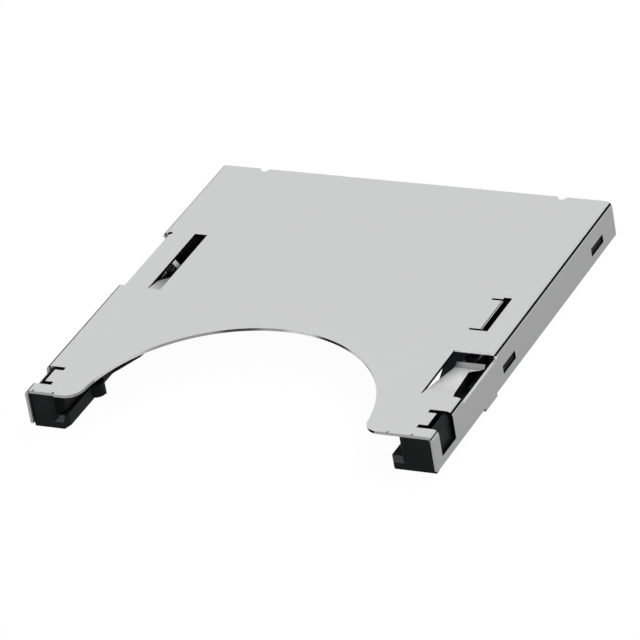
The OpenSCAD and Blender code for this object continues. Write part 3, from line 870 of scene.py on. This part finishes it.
@dataclass
class GrownShape:
    """A Geometry Nodes tree with named sizes, whose result becomes a plain mesh."""

    name: str
    sizes: dict[str, float]
    bench: NodeBench = field(init=False)
    inputs: Node = field(init=False)

    def __post_init__(self) -> None:
        """Opens the tree and gives it its named inputs."""
        tree = bpy.data.node_groups.new(self.name, "GeometryNodeTree")
        face = tree.interface
        face.new_socket("Geometry", in_out="INPUT", socket_type="NodeSocketGeometry")
        face.new_socket("Finish", in_out="INPUT", socket_type="NodeSocketMaterial")
        for label, value in self.sizes.items():
            kind = "NodeSocketInt" if isinstance(value, int) else "NodeSocketFloat"
            face.new_socket(label, in_out="INPUT", socket_type=kind)
        face.new_socket("Geometry", in_out="OUTPUT", socket_type="NodeSocketGeometry")
        self.bench = NodeBench(tree)
        self.inputs = self.bench.add("NodeGroupInput")

    def size(self, label: str) -> Wire:
        """One of the tree's inputs."""
        return self.bench.out(self.inputs, label)

    def shape(self, kind: str, inputs: dict | None = None, **settings: str) -> Wire:
        """Adds a geometry node by the rest of its type's name, and gives its first output."""
        return self.bench.out(self.bench.add("GeometryNode" + kind, inputs, **settings))

    def rounded(self, path: Wire, steps: str, radius: str, capped: bool = False) -> Wire:
        """Rounds the corners of a path.

        Args:
            path: Curves with sharp corners.
            steps: Input that gives the points of each corner.
            radius: Input that gives the corners' radius.
            capped: Whether a short side makes its corners' radius smaller.

        Returns:
            The rounded curves.
        """
        inputs = {"Curve": path, "Count": self.size(steps), "Radius": self.size(radius)}
        return self.shape("FilletCurve", inputs | {"Limit Radius": capped}, mode="POLY")

    def wire_section(self) -> Wire:
        """The round section of a wire, from the inputs Sides and Wire."""
        inputs = {"Resolution": self.size("Sides"), "Radius": self.size("Wire") / 2.0}
        return self.shape("CurvePrimitiveCircle", inputs)

    def swept(self, path: Wire, profile: Wire) -> Wire:
        """Sweeps a closed profile along the curves of a path, with closed ends and smooth faces."""
        inputs = {"Curve": path, "Profile Curve": profile, "Fill Caps": True}
        bar = self.shape("CurveToMesh", inputs)
        return self.shape("SetShadeSmooth", {"Geometry": bar, "Shade Smooth": True})

    def close(self, geometry: Wire) -> None:
        """Ends the tree with the whole shape as real geometry, in the named finish."""
        real = self.shape("RealizeInstances", {"Geometry": geometry})
        dressed = self.shape("SetMaterial", {"Geometry": real, "Material": self.size("Finish")})
        self.bench.add("NodeGroupOutput", {"Geometry": dressed})

    def mesh(self, start: Mesh, finish: Finish) -> Mesh:
        """Runs the tree once.

        Args:
            start: Mesh that the tree starts from.
            finish: Surface finish.

        Returns:
            The result as a plain mesh.
        """
        holder = added(self.name, start)
        modifier = holder.modifiers.new(self.name, "NODES")
        modifier.node_group = self.bench.tree
        for item in self.bench.tree.interface.items_tree:
            if item.in_out == "INPUT" and item.name in self.sizes:
                modifier[item.identifier] = self.sizes[item.name]
            elif item.in_out == "INPUT" and item.name == "Finish":
                modifier[item.identifier] = finish.material()
        seen = holder.evaluated_get(bpy.context.evaluated_depsgraph_get())
        mesh = bpy.data.meshes.new_from_object(seen)
        holder.modifiers.remove(modifier)
        bpy.data.objects.remove(holder)
        return mesh


def paths_mesh(name: str, paths: Sequence[Sequence[Vector]]) -> Mesh:
    """Makes a mesh of open paths, each knowing its own place across the socket.

    Args:
        name: Mesh's name.
        paths: Points of each path, all at one X.

    Returns:
        Edges only, with the attribute "middle".
    """
    points = [point for path in paths for point in path]
    edges, first = [], 0
    for path in paths:
        edges += [(first + i, first + i + 1) for i in range(len(path) - 1)]
        first += len(path)
    mesh = bpy.data.meshes.new(name)
    mesh.from_pydata(points, edges, [])
    middle = mesh.attributes.new("middle", "FLOAT", "POINT")
    middle.data.foreach_set("value", [point[0] for point in points])
    return mesh


def corners(node: str) -> tuple[Vector, Vector]:
    """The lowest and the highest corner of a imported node."""
    low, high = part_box(node)
    return Vector(low), Vector(high)


@dataclass
class Cover:
    """Folded steel cover, whose edges stay sharp from crease degrees."""

    crease: float = 30.0

    def build(self, shop: Workshop) -> None:
        """Makes the cover."""
        shop.dress("shell", "cover_sheet", COVER_STEEL, Body.FRAME, self.crease)


@dataclass
class Housing:
    """Moulded housing, whose edges stay sharp from crease degrees."""

    crease: float = 20.0

    def build(self, shop: Workshop) -> None:
        """Makes the housing."""
        shop.dress("housing", "housing_moulding", HOUSING_PLASTIC, Body.FRAME, self.crease)


@dataclass
class PushMechanism:
    """Slider with its card lock, cam pin and eject spring."""

    # Eject spring
    spring_wire: float = 0.18 * MM
    turns: int = 16
    turn_steps: int = 24
    spring_sides: int = 10
    closed_pitch: float = 1.04
    travel: float = 5.8 * MM
    stop: float = 12.9 * MM

    # Cam pin
    pin_wire: float = 0.3 * MM
    pin_bend: float = 0.3 * MM
    pin_bend_steps: int = 8
    pin_sides: int = 20
    tip_lift: float = 0.15 * MM

    def coil(self) -> Mesh:
        """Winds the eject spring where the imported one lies, with a closed turn at each end."""
        low, high = corners("eject_spring")
        wire = self.spring_wire
        grown = GrownShape("wound_coil", {
            "Turns": self.turns, "Steps": self.turn_steps, "Sides": self.spring_sides,
            "Wire": wire, "Radius": (high.x - low.x - wire) / 2,
            "Across": (low.x + high.x) / 2, "Height": (low.z + high.z) / 2,
            "Front": low.y + wire / 2, "Rear": high.y - wire / 2, "Closed": wire * self.closed_pitch})
        size, shape, bench = grown.size, grown.shape, grown.bench
        turn = shape("InputIndex") / size("Steps")
        inner = size("Turns") - 2.0
        pitch = (size("Rear") - size("Front") - 2.0 * size("Closed")) / inner
        ends = turn.at_most(1.0) + (turn - 1.0 - inner).at_least(0.0)
        rise = ends * size("Closed") + (turn - 1.0).at_least(0.0).at_most(inner) * pitch
        angle = turn * math.tau
        place = bench.join(size("Across") + size("Radius") * bench.math("COSINE", angle),
                           size("Front") + rise,
                           size("Height") + size("Radius") * bench.math("SINE", angle))
        line = shape("MeshLine", {"Count": size("Turns") * size("Steps") + 1.0})
        wound = shape("SetPosition", {"Geometry": line, "Position": place})
        path = shape("MeshToCurve", {"Mesh": wound})
        grown.close(grown.swept(path, grown.wire_section()))
        return grown.mesh(bpy.data.meshes.new("coil_start"), SPRING_STEEL)

    def bent_pin(self) -> Mesh:
        """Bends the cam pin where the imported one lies: two legs down from a run along Y."""
        low, high = corners("cam_pin")
        half = self.pin_wire / 2
        x, front, rear, top = (low.x + high.x) / 2, low.y + half, high.y - half, high.z - half
        legs = [Vector((x, front, low.z)), Vector((x, front, top)),
                Vector((x, rear, top)), Vector((x, rear, low.z + self.tip_lift))]
        grown = GrownShape("bent_wire", {"Wire": self.pin_wire, "Bend": self.pin_bend,
                                         "Steps": self.pin_bend_steps, "Sides": self.pin_sides})
        path = grown.shape("MeshToCurve", {"Mesh": grown.size("Geometry")})
        path = grown.rounded(path, "Steps", "Bend")
        grown.close(grown.swept(path, grown.wire_section()))
        return grown.mesh(paths_mesh("pin_start", [legs]), SPRING_STEEL)

    def build(self, shop: Workshop) -> None:
        """Makes the mechanism's pieces, and gives the coil a mesh of its own."""
        shop.dress("slider", "slider_moulding", SLIDER_PLASTIC, Body.CARRIAGE)
        shop.dress("card_lock", "card_lock_blade", SPRING_STEEL, Body.CARRIAGE)
        pin = shop.creased(self.bent_pin())
        shop.finish("cam_pin_wire", pin, SPRING_STEEL, Body.LATCH_WIRE, ["cam_pin"])
        coil = shop.finish("eject_coil", self.coil(), SPRING_STEEL, Body.FRAME, ["eject_spring"])
        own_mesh(coil)


@dataclass
class ContactRow:
    """Nine contact strips: solder tail, step up, sprung arm, bump and turned-down nose."""

    nodes: tuple[str, ...] = tuple(f"contact_{number}" for number in range(1, 10))

    # Section of a strip, with rounded edges and bent corners
    thickness: float = 0.15 * MM
    edge: float = 0.035 * MM
    edge_steps: int = 2
    bend: float = 0.2 * MM
    bend_steps: int = 6

    # Middle line of a strip
    tail: float = 0.6 * MM
    block: Pair = (12.6 * MM, 14.3 * MM)
    root: float = 0.5 * MM
    crown: float = 0.35 * MM
    nose: Pair = (0.9 * MM, 0.38 * MM)
    nose_room: float = 0.04 * MM

    # Stretch over which the arm gets slimmer, and by which share of its width
    slim: float = 0.3
    arm_from: float = 12.4 * MM
    arm_to: float = 8.8 * MM

    def _path(self, node: str) -> list[Vector]:
        """Lays the middle line of one strip.

        Args:
            node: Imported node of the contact.

        Returns:
            Points from the tail to the nose.
        """
        low, high = corners(node)
        x, half = (low.x + high.x) / 2, self.thickness / 2
        bump, crest = low.y + self.nose[0] + self.nose_room, high.z - half
        places = [(high.y, half), (high.y - self.tail, half), (self.block[1], self.root),
                  (self.block[0], self.root), (bump + self.crown, crest - half / 2), (bump, crest),
                  (bump - self.crown, crest - half / 2), (bump - self.nose[0], crest - self.nose[1])]
        return [Vector((x, y, z)) for y, z in places]

    def strips(self) -> Mesh:
        """Sweeps every strip along its own path.

        Returns:
            One mesh with the attribute "across", from -1 to 1 over each strip's width.
        """
        low, high = corners(self.nodes[0])
        grown = GrownShape("stamped_strips", {
            "Width": high.x - low.x, "Thickness": self.thickness, "Edge": self.edge, "Bend": self.bend,
            "Slim": self.slim, "Arm From": self.arm_from, "Arm To": self.arm_to,
            "Steps": self.bend_steps, "Edge Steps": self.edge_steps})
        size, shape, bench = grown.size, grown.shape, grown.bench
        path = shape("MeshToCurve", {"Mesh": size("Geometry")})
        path = grown.rounded(path, "Steps", "Bend", True)
        path = shape("SetCurveNormal", {"Curve": path}, mode="Z_UP")
        section = shape("CurvePrimitiveQuadrilateral", {"Width": size("Width"), "Height": size("Thickness")})
        bars = grown.swept(path, grown.rounded(section, "Edge Steps", "Edge"))
        middle = shape("InputNamedAttribute", {"Name": "middle"}, data_type="FLOAT")
        x, y, z = bench.split(shape("InputPosition"))
        along = (size("Arm From") - y) / (size("Arm From") - size("Arm To"))
        slimmed = 1.0 - along.at_least(0.0).at_most(1.0) * size("Slim")
        share = (x - middle) / (size("Width") / 2.0)
        bars = shape("StoreNamedAttribute", {"Geometry": bars, "Name": "across", "Value": share},
                     data_type="FLOAT", domain="POINT")
        place = bench.join(middle + (x - middle) * slimmed, y, z)
        grown.close(shape("SetPosition", {"Geometry": bars, "Position": place}))
        start = paths_mesh("strip_start", [self._path(node) for node in self.nodes])
        return grown.mesh(start, CONTACT_METAL)

    def build(self, shop: Workshop) -> None:
        """Makes the row of strips."""
        shop.finish("contact_strips", shop.creased(self.strips()), CONTACT_METAL, Body.FRAME, self.nodes)


@dataclass
class CardSwitches:
    """Blades of the card switches, and the terminal that they close on."""

    blades: tuple[str, ...] = ("detect_spring", "write_protect_spring")
    terminal: str = "switch_terminal"

    def build(self, shop: Workshop) -> None:
        """Makes the blades and their terminal."""
        for node in self.blades:
            shop.dress(node, node + "_blade", SPRING_STEEL, Body.FRAME)
        shop.dress(self.terminal, self.terminal + "_strip", CONTACT_METAL, Body.FRAME)


@dataclass(frozen=True)
class Lamp:
    """A square lamp that looks at the socket, which gloss reflects or not."""

    name: str
    place: Triple
    size: float
    power: float
    reflected: bool


@dataclass
class Studio:
    """Camera, lamps, floor and backdrop."""

    # Camera
    azimuth: float = 30.117
    elevation: float = 30.056
    roll: float = -10.047
    target: Triple = (1.1697 * MM, -3.258 * MM, 2.623 * MM)
    distance: float = 341.42 * MM
    lens: float = 298.05
    sensor: float = 36.0
    seen_range: Pair = (0.01, 20.0)

    # Floor: matt for light, nearly white for the camera, and pale grey for gloss
    floor_size: float = 4.0
    floor_drop: float = 0.02 * MM
    floor_matt: Colour = (0.5, 0.5, 0.5)
    floor_white: float = 1.04
    floor_white_share: float = 0.93
    floor_in_gloss: Colour = (0.6, 0.6, 0.6)

    # Light from around, and lamps
    surround: Colour = (0.5, 0.5, 0.5)
    white: Colour = (1.0, 1.0, 1.0)
    lamps: tuple[Lamp, ...] = (
        Lamp("key", (0.055, 0.08, 0.17), 0.16, 0.18, False),
        Lamp("fill", (-0.14, 0.10, 0.3), 0.25, 0.10, True),
        Lamp("front", (-0.10, -0.13, 0.21), 0.10, 0.05, True),
    )

    def camera(self) -> None:
        """Makes the camera at the photograph's angle."""
        azimuth, elevation, roll = (math.radians(x) for x in (self.azimuth, self.elevation, self.roll))
        level = math.cos(elevation)
        back = Vector((math.sin(azimuth) * level, -math.cos(azimuth) * level, math.sin(elevation)))
        right = (-back).cross(Vector((0, 0, 1))).normalized()
        up = right.cross(-back)
        across = right * math.cos(roll) + up * math.sin(roll)
        above = up * math.cos(roll) - right * math.sin(roll)
        data = bpy.data.cameras.new("camera")
        data.sensor_width = self.sensor
        data.lens = self.lens
        data.clip_start, data.clip_end = self.seen_range
        camera = added("camera", data)
        place = Vector(self.target) + back * self.distance
        turn = Matrix((across, above, back)).transposed().to_4x4()
        camera.matrix_world = Matrix.Translation(place) @ turn
        bpy.context.scene.camera = camera

    def floor_material(self) -> Material:
        """Makes the floor's material, which light, the camera and gloss see differently."""
        made = bpy.data.materials.new("pale_floor")
        bench = cleared(made)
        path = bench.add("ShaderNodeLightPath")
        matt = bench.add("ShaderNodeBsdfDiffuse", {"Color": self.floor_matt})
        white = bench.add("ShaderNodeEmission", {"Color": self.white, "Strength": self.floor_white})
        plain = bench.add("ShaderNodeEmission", {"Color": self.floor_in_gloss, "Strength": 1.0})
        share = bench.out(path, "Is Camera Ray") * self.floor_white_share
        seen = bench.add("ShaderNodeMixShader", {0: share, 1: bench.out(matt), 2: bench.out(white)})
        gloss = bench.out(path, "Is Glossy Ray")
        mixed = bench.add("ShaderNodeMixShader", {0: gloss, 1: bench.out(seen), 2: bench.out(plain)})
        bench.add("ShaderNodeOutputMaterial", {"Surface": bench.out(mixed)})
        return made

    def floor(self) -> None:
        """Makes the pale floor, a hair under the board's plane."""
        mesh = bpy.data.meshes.new("floor")
        half = self.floor_size / 2
        sides = [(-half, -half, 0), (half, -half, 0), (half, half, 0), (-half, half, 0)]
        mesh.from_pydata(sides, [], [(0, 1, 2, 3)])
        mesh.materials.append(self.floor_material())
        floor = added("floor", mesh)
        floor.location.z = -self.floor_drop

    def world(self) -> None:
        """Makes the light from around, which is white to the camera and to gloss."""
        world = bpy.data.worlds.new("studio")
        bpy.context.scene.world = world
        bench = cleared(world)
        path = bench.add("ShaderNodeLightPath")
        seen = bench.out(path, "Is Camera Ray").at_least(bench.out(path, "Is Glossy Ray"))
        shade = bench.blend(seen, self.surround, self.white)
        sky = bench.add("ShaderNodeBackground", {"Color": shade, "Strength": 1.0})
        bench.add("ShaderNodeOutputWorld", {"Surface": bench.out(sky)})

    def light(self) -> None:
        """Makes the lamps."""
        for lamp in self.lamps:
            data = bpy.data.lights.new(lamp.name, "AREA")
            data.size = lamp.size
            data.energy = lamp.power
            hung = added(lamp.name, data)
            hung.location = lamp.place
            hung.visible_glossy = lamp.reflected
            hung.rotation_mode = "QUATERNION"
            hung.rotation_quaternion = Vector(lamp.place).to_track_quat("Z", "Y")

    def build(self) -> None:
        """Makes the whole studio."""
        self.camera()
        self.floor()
        self.world()
        self.light()
        bpy.context.scene.view_settings.view_transform = "Standard"


def main() -> None:
    """Builds the socket's pieces in order and reports them."""
    logging.basicConfig(level=logging.INFO, format="%(name)s: %(message)s")
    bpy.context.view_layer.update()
    Studio().build()
    shop = Workshop()
    for assembly in (Cover(), Housing(), PushMechanism(), ContactRow(), CardSwitches()):
        assembly.build(shop)
    for piece in shop.made:
        log.info("%s: %d faces", piece.name, len(piece.data.polygons))


if __name__ == "__main__":
    main()
